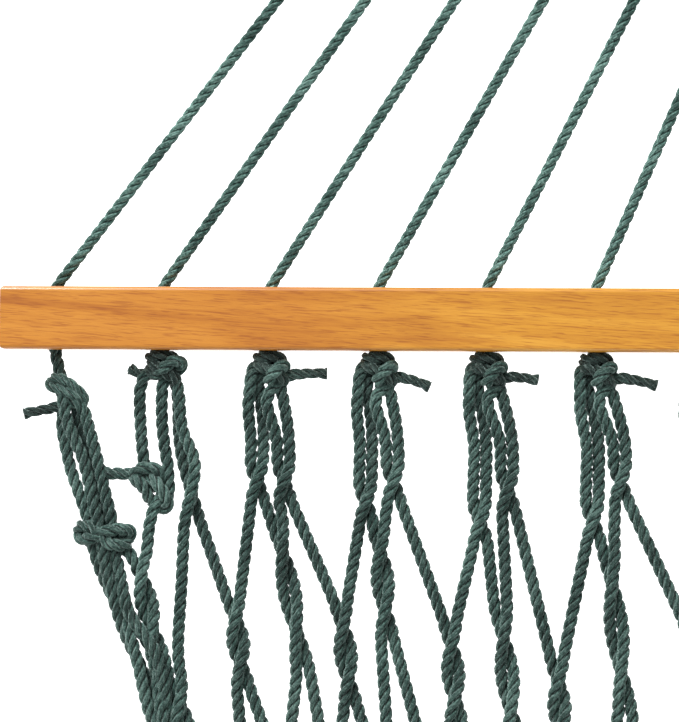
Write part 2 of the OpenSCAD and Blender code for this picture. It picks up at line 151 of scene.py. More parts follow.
# ---- Coordinates on the bed and on the clew ----
def bed_points(q):
    """q holds rows of (v, u, h): v across from the +Y end of the bars, u along the bed from the head bar,
    h above the netting."""
    q = np.asarray(q, dtype=float)
    a = BED_SLOPE - q[:, 1] / bed_r
    r = bed_r - q[:, 2]
    return np.stack([r * np.sin(a), BAR_HALF - q[:, 0], bed_centre_z - r * np.cos(a)], axis=1)


def clew_points(q):
    """q holds rows of (s, y, h): s from the head bar's outer face towards the ring, h above the clew's
    plane."""
    q = np.asarray(q, dtype=float)
    start = bar_mid + clew_dir * BAR_DEPTH / 2
    return start + q[:, :1] * clew_dir + q[:, 1:2] * [0, 1, 0] + q[:, 2:] * clew_up


def other_end(points):
    """The same points turned half round the Z axis."""
    return points * [-1, -1, 1]


# ---- Rope ----
def resample(points, step):
    """The same line as evenly spaced points."""
    points = np.asarray(points, dtype=float)
    gaps = np.linalg.norm(np.diff(points, axis=0), axis=1)
    s = np.concatenate([[0], np.cumsum(gaps)])
    t = np.linspace(0, s[-1], max(2, int(round(s[-1] / step)) + 1))
    return np.stack([np.interp(t, s, points[:, k]) for k in range(3)], axis=1)


def smooth(points, sigma, step=STEP):
    """Rounds the corners of an evenly spaced line, whose ends stay."""
    half = min(len(points) - 1, max(1, int(round(3 * sigma / step))))
    weights = np.exp(-0.5 * (np.arange(-half, half + 1) * step / sigma) ** 2)
    weights /= weights.sum()
    before = 2 * points[0] - points[half:0:-1]
    after = 2 * points[-1] - points[-2:-half - 2:-1]
    run = np.vstack([before, points, after])
    return np.stack([np.convolve(run[:, k], weights, mode="valid") for k in range(3)], axis=1)


def curve(points, sigma=0.0022):
    """A smooth line past a few points, as rows that are STEP apart."""
    return smooth(resample(points, STEP), sigma)


def carried_frames(points):
    """Tangents, and two side vectors that are carried along the line without twisting."""
    tangent = np.gradient(points, axis=0)
    tangent /= np.linalg.norm(tangent, axis=1)[:, None]
    side = np.zeros_like(tangent)
    side[0] = unit(np.cross(tangent[0], [0.31, 0.95, 0.05]))
    for i in range(1, len(tangent)):
        v = side[i - 1] - tangent[i] * np.dot(side[i - 1], tangent[i])
        side[i] = v / math.sqrt(v @ v)
    return tangent, side, np.cross(tangent, side)


# Corners round each of the three strands, in degrees, from coarse to fine
SECTIONS = {"plain": (-60, 0), "mid": (-112, -50, 0, 50),
            "fine": (-124, -98, -72, -46, -15, 15, 46, 72, 98, 124)}


def strand_section(detail, groove):
    """One ring of a rope. Each row is a corner: the angle and the reach from the rope's middle, the angle
    round its own strand, and the strand's number. groove is how deep the strands are apart, 0 to 1."""
    small = 0.56 - 0.09 * groove
    offset = 1 - small
    rows = []
    for strand in range(3):
        for a in SECTIONS[detail]:
            c, s = math.cos(math.radians(a)), math.sin(math.radians(a))
            x = offset + small * math.copysign(abs(c) ** SQUARENESS, c)
            y = small * math.copysign(abs(s) ** SQUARENESS, s)
            if detail == "plain" and a:
                # This corner lies in the groove beside the strand
                x, y = 0.35, -0.55
            angle = math.atan2(y, x) + strand * 2 * math.pi / 3
            rows.append((angle, math.hypot(x, y), math.radians(a), strand))
    return np.array(rows)


# How far a rope's ends bulge, in metres, and what sets the strands' angles apart in the yarn pattern
END_CROWN = 0.0003
STRAND_APART = 7


class RopeMesh:
    """Collects ropes into one mesh. Each is three strands laid right-handed."""

    def __init__(self):
        self.verts, self.quads, self.tris, self.attr, self.shades = [], [], [], [], []
        self.count = 0

    def add(self, rings, detail, radius, groove, shade):
        """rings holds what laid() returns, for one stretch of rope. shade is how bright it is, 1 for the
        dye."""
        s, points, a, b, turn, tangent = rings
        sec = strand_section(detail, groove)
        n, m = len(points), len(sec)
        ang = turn[:, None] + sec[None, :, 0]
        reach = radius[:, None] * sec[None, :, 1]
        verts = (points[:, None, :] + (reach * np.cos(ang))[..., None] * a[:, None, :]
                 + (reach * np.sin(ang))[..., None] * b[:, None, :]).reshape(-1, 3)
        i = np.arange(n - 1)[:, None] * m
        j = np.arange(m)[None, :]
        after = (j + 1) % m
        quads = np.stack([i + j, i + after, i + m + after, i + m + j], axis=-1).reshape(-1, 4)
        j, after, last = j[0], after[0], (n - 1) * m
        caps = np.vstack([np.stack([np.full(m, n * m), after, j], 1),
                          np.stack([np.full(m, n * m + 1), last + j, last + after], 1)])
        tips = tangent[[0, -1]] * [[-END_CROWN], [END_CROWN]] + points[[0, -1]]
        verts = np.vstack([verts, tips])
        info = np.full((len(verts), 3), 0.5)
        strand_angle = sec[:, 2] + STRAND_APART * sec[:, 3]
        info[:n * m] = np.stack([np.repeat(s, m), np.tile(strand_angle, n), np.tile(sec[:, 1], n)], 1)
        self.verts.append(verts)
        self.quads.append(quads + self.count)
        self.tris.append(caps + self.count)
        self.attr.append(info)
        shade = np.broadcast_to(shade, n)
        self.shades.append(np.concatenate([np.repeat(shade, m), shade[[0, -1]]]))
        self.count += len(verts)

    def build(self, name, material):
        verts = np.vstack(self.verts).astype(np.float32)
        quads, tris = np.vstack(self.quads), np.vstack(self.tris)
        totals = np.concatenate([np.full(len(quads), 4), np.full(len(tris), 3)]).astype(np.int32)
        mesh = bpy.data.meshes.new(name)
        mesh.vertices.add(len(verts))
        mesh.vertices.foreach_set("co", verts.ravel())
        mesh.loops.add(int(totals.sum()))
        corners = np.concatenate([quads.ravel(), tris.ravel()]).astype(np.int32)
        mesh.loops.foreach_set("vertex_index", corners)
        mesh.polygons.add(len(totals))
        starts = np.concatenate([[0], np.cumsum(totals)[:-1]]).astype(np.int32)
        mesh.polygons.foreach_set("loop_start", starts)
        mesh.polygons.foreach_set("loop_total", totals)
        mesh.polygons.foreach_set("use_smooth", np.ones(len(totals), dtype=bool))
        layer = mesh.attributes.new("lay", "FLOAT_VECTOR", "POINT")
        layer.data.foreach_set("vector", np.vstack(self.attr).astype(np.float32).ravel())
        layer = mesh.attributes.new("shade", "FLOAT", "POINT")
        layer.data.foreach_set("value", np.concatenate(self.shades).astype(np.float32))
        mesh.update(calc_edges=True)
        mesh.materials.append(material)
        piece = bpy.data.objects.new(name, mesh)
        bpy.context.scene.collection.objects.link(piece)
        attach(piece, "hammock")
        return piece


def laid(line):
    """A line's distances, points and side vectors, and how far the strands have turned at each point."""
    tangent, a, b = carried_frames(line)
    s = np.concatenate([[0], np.cumsum(np.linalg.norm(np.diff(line, axis=0), axis=1))])
    start = rng.uniform(0, 2 * math.pi)
    turn = start + 2 * math.pi * s / ROPE_LAY
    return s, line, a, b, turn, tangent


def part_of(rings, keep):
    return tuple(row[keep] for row in rings)


# A cut tail, in metres back from its tip: where it is thin, where it frays, where it is dark, and how much
# darker and thinner it gets
TAIL_THIN, TAIL_FRAY, TAIL_SHADOW = 0.016, 0.0025, 0.02
TAIL_DARK, TAIL_LESS = 0.5, 0.2


def add_rope(mesh, line, detail, radius, groove, shade, has_tail=False):
    """Adds one whole rope. Its end may be a cut tail, which is dark, thin, and frayed at the tip."""
    rings = laid(line)
    s = rings[0]
    size = np.full(len(s), radius)
    shade = np.full(len(s), shade)
    if has_tail:
        away = s[-1] - s
        thin, frayed = np.exp(-(away / TAIL_THIN) ** 4), np.exp(-(away / TAIL_FRAY) ** 2)
        size *= 1 - TAIL_LESS * thin + TAIL_LESS * frayed
        shade *= 1 - TAIL_DARK * np.exp(-(away / TAIL_SHADOW) ** 6)
    keep = np.arange(0, len(s), 2 if detail == "plain" else 1)
    mesh.add(part_of(rings, keep), detail, size[keep], groove, shade[keep])


def add_split_rope(fine_mesh, plain_mesh, line, is_fine, radius, groove, shade):
    """Adds one rope as a fine stretch and a plain one. is_fine says for each point which it is, and
    changes only once."""
    rings = laid(line)
    fine = np.flatnonzero(is_fine)
    rest = np.flatnonzero(~is_fine)
    size = np.full(len(line), radius)
    if len(fine) > 2:
        fine_mesh.add(part_of(rings, fine), "fine", size[fine], groove, shade[fine])
        ends_plain = rest[-1] > fine[-1]
        rest = np.concatenate([[fine[-1]], rest] if ends_plain else [rest, [fine[0]]])
    keep = np.unique(np.concatenate([rest[::2], rest[-1:]]))
    plain_mesh.add(part_of(rings, keep), "plain", size[keep], groove, shade[keep])


# ---- Clews: the fans of rope between a bar and its ring ----
# The first ropes are modelled finely this near to the head bar, and there are this many of them
NEAR_BAR, NEAR_ROPES = 0.2, 4
# How far the ropes stay off the ring, and off each other on it
RING_GAP, ROPE_GAP = 0.15 * MM, 0.3 * MM


def hole_y(i):
    return edge_y - i * hole_pitch


def clew_rope(k):
    """One rope: out of hole 2k, over the ring, and back into hole 2k + 1."""
    lift = RING_ROD_R + ROPE_R + RING_GAP
    step = (2 * ROPE_R + ROPE_GAP) / (ring_r - lift)
    turn = (k - (HOLE_COUNT / 2 - 1) / 2) * step
    spoke = np.array([math.cos(turn), math.sin(turn), 0])
    on_ring = np.array([clew_length, 0, 0]) - ring_r * spoke

    def leg(i):
        return [(s, hole_y(i), 0) for s in (-BAR_DEPTH - 0.001, -BAR_DEPTH / 2, -0.0008)]

    over = [on_ring + lift * (math.cos(a) * spoke + math.sin(a) * np.array([0, 0, 1]))
            for a in np.radians(np.linspace(90, -90, 9))]
    return leg(2 * k) + over + leg(2 * k + 1)[::-1]


def add_near_clew(fine, rope, line, from_bar):
    """Adds one clew rope, fine in its two stretches near the bar and coarser between them."""
    rings = laid(line)
    size = np.full(len(line), CLEW_R)
    near = from_bar < NEAR_BAR
    order = np.arange(len(line))
    half = len(line) // 2
    first, second = np.flatnonzero(near & (order < half)), np.flatnonzero(near & (order > half))
    for stretch in (first, second):
        fine.add(part_of(rings, stretch), "fine", size[stretch], CLEW_GROOVE, CLEW_PAINTED_LIGHT)
    middle = np.arange(first[-1], second[0] + 1)
    rope.add(part_of(rings, middle), "mid", size[middle], CLEW_GROOVE, CLEW_PAINTED_LIGHT)


def make_clews(material):
    fine = RopeMesh()
    for end in ("head", "foot"):
        rope = RopeMesh()
        for k in range(HOLE_COUNT // 2):
            run = curve(clew_rope(k))
            line = clew_points(run)
            if end == "foot":
                line = other_end(line)
            if end == "head" and k < NEAR_ROPES:
                add_near_clew(fine, rope, line, run[:, 0])
            else:
                add_rope(rope, line, "plain", CLEW_R, CLEW_GROOVE, CLEW_PAINTED_LIGHT)
        piece = rope.build("clew_ropes_%s_laid" % end, material)
        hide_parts("clew_ropes_" + end)
    fine.build("clew_ropes_head_near_bar", material)


# ---- Netting ----
def column_v(c, u):
    """Where column c of the netting runs, c counted in holes. The bed narrows to its waist, and near a bar
    it is the outermost columns that pull in."""
    u = np.asarray(u, dtype=float)
    a = BED_SLOPE - u / bed_r
    near = np.minimum(u, BED_LENGTH - u)
    waist = bed_waist * (1 - (np.sin(a) / math.sin(BED_SLOPE)) ** 2)
    waist *= 1 - 0.18 * np.exp(-(near / 0.2) ** 4)
    # How evenly the columns share the pull, and over how many of them it dies away
    spread = 1 - np.exp(-(near / 0.33) ** 2)
    reach = np.maximum(0.6, 0.6 + (near - 0.16) / 0.23)
    y0 = edge_y - c * hole_pitch
    inner = min(c, HOLE_COUNT - 1 - c)
    pull = waist * (spread * abs(y0) / edge_y + (1 - spread) * np.exp(-max(inner, 0) / reach))
    return BAR_HALF - (y0 - np.sign(y0) * pull)


def level_u(k):
    return FIRST_LEVEL + (k - 1) * level_gap


def twist(u, half, v, slant):
    """A place where two neighbouring strands wind once round each other."""
    return {"u": u, "half": half, "v": v, "slant": slant}


def flipped_twist(t):
    return twist(t["u"], t["half"], 2 * BAR_HALF - t["v"], -t["slant"])


def turned_twist(t):
    return twist(BED_LENGTH - t["u"], t["half"], 2 * BAR_HALF - t["v"], t["slant"])


def make_twists():
    """Every twist in the netting, keyed by level and column."""
    twists = {}
    for k in range(2, LEVELS):
        offsets = (0, 0.5) if k % 2 == 0 else (-0.25, 0.25)
        for c in (i + offset for i in range(HOLE_COUNT) for offset in offsets):
            if 0.4 < c < HOLE_COUNT - 1.4:
                u = level_u(k) + rng.uniform(-7, 7) * MM
                slant = float(column_v(c, u + 0.02) - column_v(c, u - 0.02)) / 0.04
                v = float(column_v(c, u)) + rng.uniform(-1.5, 1.5) * MM
                half = rng.uniform(24, 32) if k % 2 == 0 else rng.uniform(18, 24)
                twists[k, c] = twist(u, half * MM, v, slant)
    # The second level at the corner that shows best, and the edge twists that all four corners share
    seen = {1.5: (156.7, 24, 130.6, 0.134), 2: (129.7, 42, 157.6, 0.194), 2.5: (161.8, 28, 188.1, 0.114),
            3: (123.2, 31, 207.3, 0.094), 3.5: (170.8, 28, 245.2, 0.074), 4: (171.4, 38, 273.8, 0.104),
            4.5: (187.5, 26, 301.3, 0.054), 5: (145.3, 46, 331.2, 0.104),
            5.5: (170.2, 28, 372.4, 0.084)}
    for c, (u, half, v, slant) in seen.items():
        twists[2, c] = twist(u * MM, half * MM, v * MM, slant)
    for c, t in ((0.5, twist(0.1373, 0.028, 0.0812, 0.235)), (1, twist(0.2032, 0.026, 0.1029, 0.214))):
        far = HOLE_COUNT - 1 - c
        twists[2, c], twists[2, far] = t, flipped_twist(t)
        twists[LEVELS - 1, far], twists[LEVELS - 1, c] = turned_twist(t), turned_twist(flipped_twist(t))
    return twists


def twist_line(t, side, turns=1.0):
    """One strand's way through a twist. It comes in from side -1, the low v, or +1, and the one that moves
    towards low v is always on top."""
    f = np.linspace(0, 1, 24)
    phi = 2 * math.pi * turns * f
    u = t["u"] + (2 * f - 1) * t["half"]
    v = t["v"] + t["slant"] * (u - t["u"]) + side * TWIST_R * np.cos(phi)
    return np.stack([v, u, side * TWIST_R * np.sin(phi)], axis=1)


# How dark the rope right under a bar is painted: a painted shadow of the bar
COLLAR_PAINTED_SHADOW = 0.42

# The knot under a hole, in mm across, down and up from the hole: the collar that the rope makes under the
# bar, the bight in front with its cut tail, and where the four strands come out
COLLAR = [(0, -8, 0), (0, -1, 0), (2.2, 2.2, -1.4), (1.3, 6.7, -2), (3.8, 8.6, -3.6), (6.8, 6.8, -3.4),
          (7.2, 3.8, 0), (4.8, 3.4, 4), (0, 3.4, 5.6), (-4.2, 3.4, 4.4), (-5.8, 4, 0), (-3.8, 5.8, -4.4),
          (1.8, 6.4, -5.6), (6.8, 7.2, -3.4), (7.4, 9.2, 0)]
HITCH = [(-2.2, 9.2, -3.4), (-5.4, 8.2, 0), (-5, 7.8, 3.4), (-0.8, 9.4, 5.4), (3.8, 12.2, 5),
         (7.8, 14.8, 3.6), (8.8, 16.2, 0), (5.8, 16.2, -3)]
BIGHT = [(6.4, 10.6, -3), (9.2, 8.6, 0.5), (9, 7.6, 4), (6, 9.6, 7.2), (2.4, 13.2, 7.4), (0.6, 16.2, 4.6),
         (2.4, 17.2, 1.2), (6.8, 15, -1.4), (10.8, 13, -1), (15.8, 12.3, 0), (23.8, 11.8, 0),
         (31.8, 11.8, 0)]
SECOND_BIGHT = [(5.8, 12.2, -3), (9.8, 10.2, -1), (12.4, 7.6, 1.6), (11.2, 5.6, 4.4), (7.4, 6, 6.6),
                (3.8, 8.8, 7.2), (0.6, 12.2, 6), (-2.2, 13.8, 3), (-6.2, 12.8, 1.4), (-11.2, 12.6, 0.6),
                (-16.8, 10, 0)]
STRAND_TOPS = ([(2.8, 11.2, -1), (-0.6, 9.2, 2), (-4.2, 6.6, 2.6), (-7.4, 7.2, 0.4), (-9.2, 11, 0.2),
                (-9.4, 15.2, 1.4), (-9.6, 20.2, 1.8), (-10.6, 26.2, 1), (-10.8, 32.2, 0), (-10, 39.2, 0),
                (-8.8, 50.2, 0)],
               [(0, 8, -3), (-4.4, 11.6, -2.4), (-5.6, 17, -2.4), (-5, 23.2, -3.2), (-3.8, 31.2, -4),
                (-2.8, 39.2, -4), (-2.4, 50.2, -2)],
               [(7.3, 15.7, -1), (5, 18.8, 1.2), (1.8, 21.2, 2.6), (-0.8, 25.2, 3.4), (-0.4, 30.2, 3.6),
                (2, 37.2, 3), (4, 43.2, 2), (5.2, 50.2, 1)],
               [(2.8, 12.7, -3.4), (5.4, 16.7, -1.6), (7.4, 20.7, -0.4), (8.2, 26.2, 0), (9.8, 34.2, 0),
                (11, 42.2, 0), (11.6, 50.2, 0)])
# A hole's strands hang in two pairs, with their middles this far across from the hole, in mm
PAIR_MIDDLES = (-5.4, 9.2)
# Sideways sway of the strands under the first holes, and how low their first crossings lie, in mm
HANGS = {1: (5.5, 82, 78), 2: (0.5, 70.8, 70.8), 3: (0.8, 81.4, 70.4), 4: (4.4, 91, 74),
         5: (6.4, 89.8, 68.8)}
# How far each tail reaches and droops, in mm
TAILS = {2: (0, 0), 3: (-3, 7), 4: (-3.4, 3.2), 5: (1.4, 5.6)}

# The corner of the bed, in mm across from the bar's end, down from the bar, and up
EDGE_DROP = [(28, -8, 0), (28.2, -1, 0), (28.6, 2.7, 0), (29.8, 7.3, 0), (30.8, 11.8, 0), (31.5, 15.4, -1),
             (32.6, 19, -4), (34.6, 23.5, -5.4), (37.9, 27.5, -5), (41.2, 30.7, -3.6)]
EDGE_WRAP = [(41.2, 31.1, -3), (37.5, 28.5, -5), (32.8, 24.4, -5.6), (28.7, 20.4, -5), (26.5, 17.8, -2.4),
             (26.7, 16, 1.4), (29.4, 15, 4.4), (33, 15.7, 5.8), (36.7, 17.7, 6), (40.1, 20.2, 5.6),
             (42.8, 22.9, 4), (44.7, 25.2, 1), (44.4, 27.4, -2), (41.6, 27.5, -4.6)]
EDGE_TURN = [(34.6, 19, -5), (30, 16.8, -6), (26.3, 16.8, -4), (25, 18.3, 0), (27.1, 20.3, 3.6),
             (30.8, 21.4, 5.4), (34.6, 22.8, 6), (38.3, 24.3, 6), (41.8, 25.6, 4.6), (44.4, 27.2, 2),
             (44.2, 29, -1), (41.3, 30.3, -3), (37.5, 30, -5)]
EDGE_TAIL = [(38.4, 29.1, -5), (33.9, 29.5, -4.6), (29.8, 30.6, -2.6), (26.2, 31.7, -1), (20.2, 32.9, 0),
             (11.9, 34.5, 0)]
CROSS_ROPE = [(48.1, 64.2, -4), (53.2, 65.5, -2), (59.3, 66.7, 0), (65.4, 66.6, 0), (71.4, 66.8, 0),
              (76.5, 68.9, -2), (80.6, 73.9, -3)]
LEG_OUTER = [(80.5, 10.7, 0), (76.8, 14.8, 1.4), (74.8, 21.8, 1), (75, 32.9, 0), (75.9, 44.9, 0),
             (77.1, 56.9, 0), (78.4, 63.9, -1.5), (81.6, 68.9, -3), (85.7, 74.9, -3)]
LEG_INNER = [(88.6, 12.7, 0), (87.3, 19.7, 2), (86.9, 28.8, 1.4), (87.3, 40.8, 0.4), (88.9, 52.8, 0),
             (90.7, 61.8, 0), (91, 68.8, -1), (91.6, 75.8, -1.5), (89.8, 80.8, -3)]
SIDE_KNOT = [(83.6, 72.9, -3), (78.6, 73.4, -1), (74, 71, 1.5), (72.3, 67.6, 2.6), (75, 64.5, 4.4),
             (79.9, 63.3, 4.8), (85, 64.1, 3.4), (87.6, 67.8, -1), (85.6, 70.9, -3.6)]
SIDE_KNOT_TURN = [(72.5, 69, 0), (74.5, 69.4, 4.2), (77.2, 72.5, 4.2), (79.5, 76.9, 1.6), (81.4, 80.9, -1),
                  (84.9, 82.8, -3)]
SIDE_KNOT_BIGHT = [(80.5, 68.9, 0), (83.2, 69.3, 4), (86.7, 73.2, 5.4), (90.2, 78.4, 4.8),
                   (91.9, 82.8, 2.6), (89.5, 85.8, -0.6), (85.3, 84.4, -3), (81.3, 80.9, -3)]
GATHER = [(66.2, 103, -4), (71.1, 99.9, -2), (71.3, 97, 2), (65, 96.6, 5.6), (57.6, 98.5, 7),
          (50.4, 102, 6.2), (44.4, 102.2, 2), (42.9, 98.8, -1.4), (47.9, 96.2, -6), (58, 97.1, -7),
          (66.1, 101, -5), (70.6, 103.5, -1.4), (67.8, 105.6, 3.8), (61.6, 105.2, 6.6), (55.4, 100.7, 5.6),
          (50.7, 96.6, 5.8), (46.2, 94.4, 4.6), (42.7, 96.6, 0.6), (46.6, 102.6, -5), (56.2, 106.1, -7),
          (65.2, 106.6, -5)]
# Where the corner's own strands start: four in the edge bundle, one out of the gathering knot, one out of
# the side knot
CORNER_STRANDS = ([(35.1, 21.1, -3), (33.2, 29.1, -4), (32, 37.2, -3), (32.7, 43.2, -1), (34.1, 49.2, 0),
                   (37.9, 64.7, 0), (43.9, 80.2, 0), (47.7, 90.2, 0), (51.3, 107.2, 0), (54.3, 116.5, 0),
                   (57.2, 123.6, -2.6), (61, 131.5, -4), (65.4, 138.9, -3.4), (68.8, 143.6, -1),
                   (71.4, 148.4, 2), (73.6, 154.5, 4), (75.8, 162.6, 4.4), (78.6, 172.1, 4),
                   (80.2, 180.2, 3.4), (82.2, 187.6, 3), (84.5, 196.3, 2)],
                  [(32, 19.1, 2), (33.1, 24.1, 4), (34.7, 32.1, 5), (36.5, 40.2, 4.6), (40.1, 48.2, 4),
                   (44.6, 57.2, 3), (47.2, 67, 2), (50.5, 81.2, 1), (53.2, 90.1, 2), (56.8, 107.1, 3.4),
                   (58.7, 117.8, 3.4), (61, 126, 3.4), (63, 132.8, 3), (65, 139.6, 2.6), (66.9, 146.4, 1),
                   (69.6, 153.2, -1), (72.7, 159.9, -3), (77.2, 168, -4.4), (80.9, 176.1, -4.6),
                   (84.2, 185.5, -3), (88.1, 196.3, 1)],
                  [(39.2, 25.1, -3), (40.5, 35.1, -3), (43.8, 49.2, -3.4), (48.8, 64.6, -3.4),
                   (53.5, 80.1, -3), (56.8, 90.1, -3), (62.6, 107.1, 0.4), (65, 115, 1.6), (67, 123.2, 2.6),
                   (68.5, 130, 3.2), (70, 136.8, 3.6), (72.2, 142.2, 4.4), (75.9, 147.4, 5.4),
                   (80.6, 152.6, 6), (84.9, 158.1, 6), (87.7, 164.1, 5.4), (89.5, 170.8, 4.4),
                   (91.5, 178.6, 3), (93, 188.1, 1.4), (93.8, 196.1, 0)],
                  [(34.5, 25.5, 1), (38.7, 28, 3.4), (42.2, 29.4, 2.6), (44.8, 31.7, 0.6),
                   (45.5, 35.1, 0.6), (49.7, 49.1, 1), (54, 64.5, 1), (57.8, 80.1, 0.6), (60.8, 90.1, 0),
                   (60.4, 107.1, -4), (63.4, 117.7, -4.4), (66.2, 127.3, -5), (68.3, 135.5, -5),
                   (71.8, 143.6, -5), (76.4, 150.6, -5), (81, 156.3, -5), (84.5, 162.8, -4.4),
                   (86.3, 170.6, -3), (87.5, 178.7, -1), (88.8, 186.8, 1.4), (91.1, 196.2, 3.4)],
                  [(62.2, 106, -5), (67.7, 106.6, -3), (71.1, 108.9, -0.6), (73.7, 113.9, 0)],
                  [(87.8, 76.8, -4), (86.8, 80.3, -0.6), (84.5, 83.9, 2.6), (82.3, 89.9, 2), (81, 96.9, 1),
                   (80.7, 104.8, 0.4), (80, 111.8, 0)])

# The other two strands of the second hole, which cross on their way down
RIGHT_PAIR = ([(92.7, 12.7, -1), (95.4, 18.7, 0), (96.8, 28.7, 0.4), (97.1, 36.7, 0.8), (99.1, 45.7, 1),
               (103, 52.7, 1.5), (105.9, 59.7, 2.4), (105.7, 69.7, 3.6), (103.7, 77.7, 3.8),
               (101.6, 87.3, 3), (100.2, 94.7, 1.5), (99.8, 106.6, 0.5), (99.4, 125.5, 0), (98.2, 153.2, 0),
               (98.5, 166, 0)],
              [(91.7, 11.7, -3), (94.4, 18.7, -3.4), (95.4, 28.7, -3.6), (95.5, 36.7, -3.4), (96, 45.7, -3),
               (97.4, 55.7, -3), (100.2, 66.7, -3.4), (103.4, 76.7, -3.6), (106.6, 86.2, -3.4),
               (109.6, 94.6, -1.5)])


def local(points, across=0.0):
    """Rows in mm, moved across, in metres."""
    return (np.asarray(points, dtype=float) + [across, 0, 0]) * MM


def start_rows(i, s, hangs):
    """The way of the strand of hole i whose home column is s, from its knot through its first crossing."""
    if i > HOLE_COUNT - 3:
        return flipped(start_rows(HOLE_COUNT - 1 - i, 3 - s, hangs))
    j = 4 * i + s
    if j < len(CORNER_STRANDS):
        return local(CORNER_STRANDS[j])
    if i == 1:
        return local(RIGHT_PAIR[s - 2])
    top = {0: 1, 1: 0, 2: 3, 3: 2}[s]
    sway, deep_left, deep_right = hangs
    hole_v = (HOLE_MARGIN + i * hole_pitch) / MM
    rows = np.array(STRAND_TOPS[top], dtype=float)
    rows[:, 0] += hole_v + np.minimum(1, rows[:, 1] / 50) * sway * 0.8
    pair = 0 if top < 2 else 1
    middle = hole_v + PAIR_MIDDLES[pair] + 0.75 * sway
    deep = (deep_left, deep_right)[pair]
    cross = twist(deep * MM, 10 * MM, middle * MM, 0.05)
    side = -1 if top in (0, 2) else 1
    return np.vstack([local(rows), twist_line(cross, side, 0.5)])


def flipped(rows):
    """Rows of (v, u, h) mirrored to the other side of the bed."""
    return rows * [-1, 1, 1] + [2 * BAR_HALF, 0, 0]


def turned(rows):
    """Rows of (v, u, h) turned half round, from the head end to the foot end, and run the other way."""
    return (rows * [-1, -1, 1] + [2 * BAR_HALF, BED_LENGTH, 0])[::-1]


# The edge bundle between the corners: where it starts, how far its ropes lie from its middle, the length in
# which they go once round each other, and how far apart their rows are
BUNDLE_START, BUNDLE_R, BUNDLE_TURN, BUNDLE_STEP = 0.21, 0.004, 0.22, 0.012
# How far in from the outermost column the bundle's middle lies, and the rope beside it that weaves
BUNDLE_IN, WEAVER_IN = -1 * MM, 6.3 * MM


def beside_edge(u):
    """A row for the rope that weaves, where it runs along the inner side of the edge bundle."""
    return np.array([[float(column_v(0, u)) + WEAVER_IN, u, 0]])


def edge_strand_rows(s, twists):
    """Strand s of the edge bundle, between the corners. The innermost one weaves in and out of the
    netting."""
    u = np.arange(BUNDLE_START, BED_LENGTH - BUNDLE_START, BUNDLE_STEP)
    around = 2 * math.pi * (s / 3 + u / BUNDLE_TURN)
    across = column_v(0, u) + BUNDLE_R * np.cos(around) + BUNDLE_IN
    rows = np.stack([across, u, BUNDLE_R * np.sin(around)], axis=1)
    if s < 3:
        return rows
    stops = [beside_edge(BUNDLE_START)]
    for k in range(4, LEVELS - 1, 2):
        stops.append(twist_line(twists[k, 0.5], -1))
        u = level_u(k + 1)
        if k < LEVELS - 3:
            stops.append(beside_edge(u))
    return np.vstack(stops + [stops[0][::-1] * [1, -1, 1] + [0, BED_LENGTH, 0]])


def forward(rows, first, last):
    """The rows that lead on towards the foot bar, between two distances from the head bar."""
    furthest = np.maximum.accumulate(np.concatenate([[first], rows[:-1, 1]]))
    return rows[(rows[:, 1] > furthest + 1 * MM) & (rows[:, 1] < last - 1 * MM)]


def strand_rows(i, s, twists, hangs):
    """Strand s of hole i, all the way from the head bar to the foot bar. At either end the two outer
    strands of the second hole wind round each other, beside the edge bundle."""
    outer = min(i, HOLE_COUNT - 1 - i)
    flip = i > HOLE_COUNT / 2
    place = 3 - s if flip else s
    head = start_rows(i, s, hangs[i, "head"])
    foot = turned(start_rows(HOLE_COUNT - 1 - i, 3 - s, hangs[i, "foot"]))
    if outer == 0:
        middle = edge_strand_rows(place, twists)
        return np.vstack([head, flipped(middle) if flip else middle, foot])
    inward = -1 if flip else 1
    rows = []
    for k in range(2, LEVELS):
        if outer == 1 and place < 2 and k in (2, LEVELS - 1):
            edge = (k, HOLE_COUNT - 1.5 if flip else 0.5)
            stops = [twist_line(twists[edge], inward * (-1 if place == 0 else 1))]
            if place == 1:
                stops.append(twist_line(twists[k, i], -inward))
            rows += stops if k == 2 else stops[::-1]
            continue
        if k % 2 == 0:
            c = (i - 0.5, i, i, i + 0.5)[s]
            side = 1 if s in (0, 2) else -1
        else:
            c = i - 0.25 if s < 2 else i + 0.25
            side = -1 if s in (0, 2) else 1
        rows.append(twist_line(twists[k, c], side))
    return np.vstack([head, forward(np.vstack(rows), head[-1, 1], foot[0, 1]), foot])


# How far from a bar its shadow reaches on the netting, and how far the upper ropes' shade on the lower ones
BAR_SHADOW, ROPE_SHADOW = 0.013, 0.08


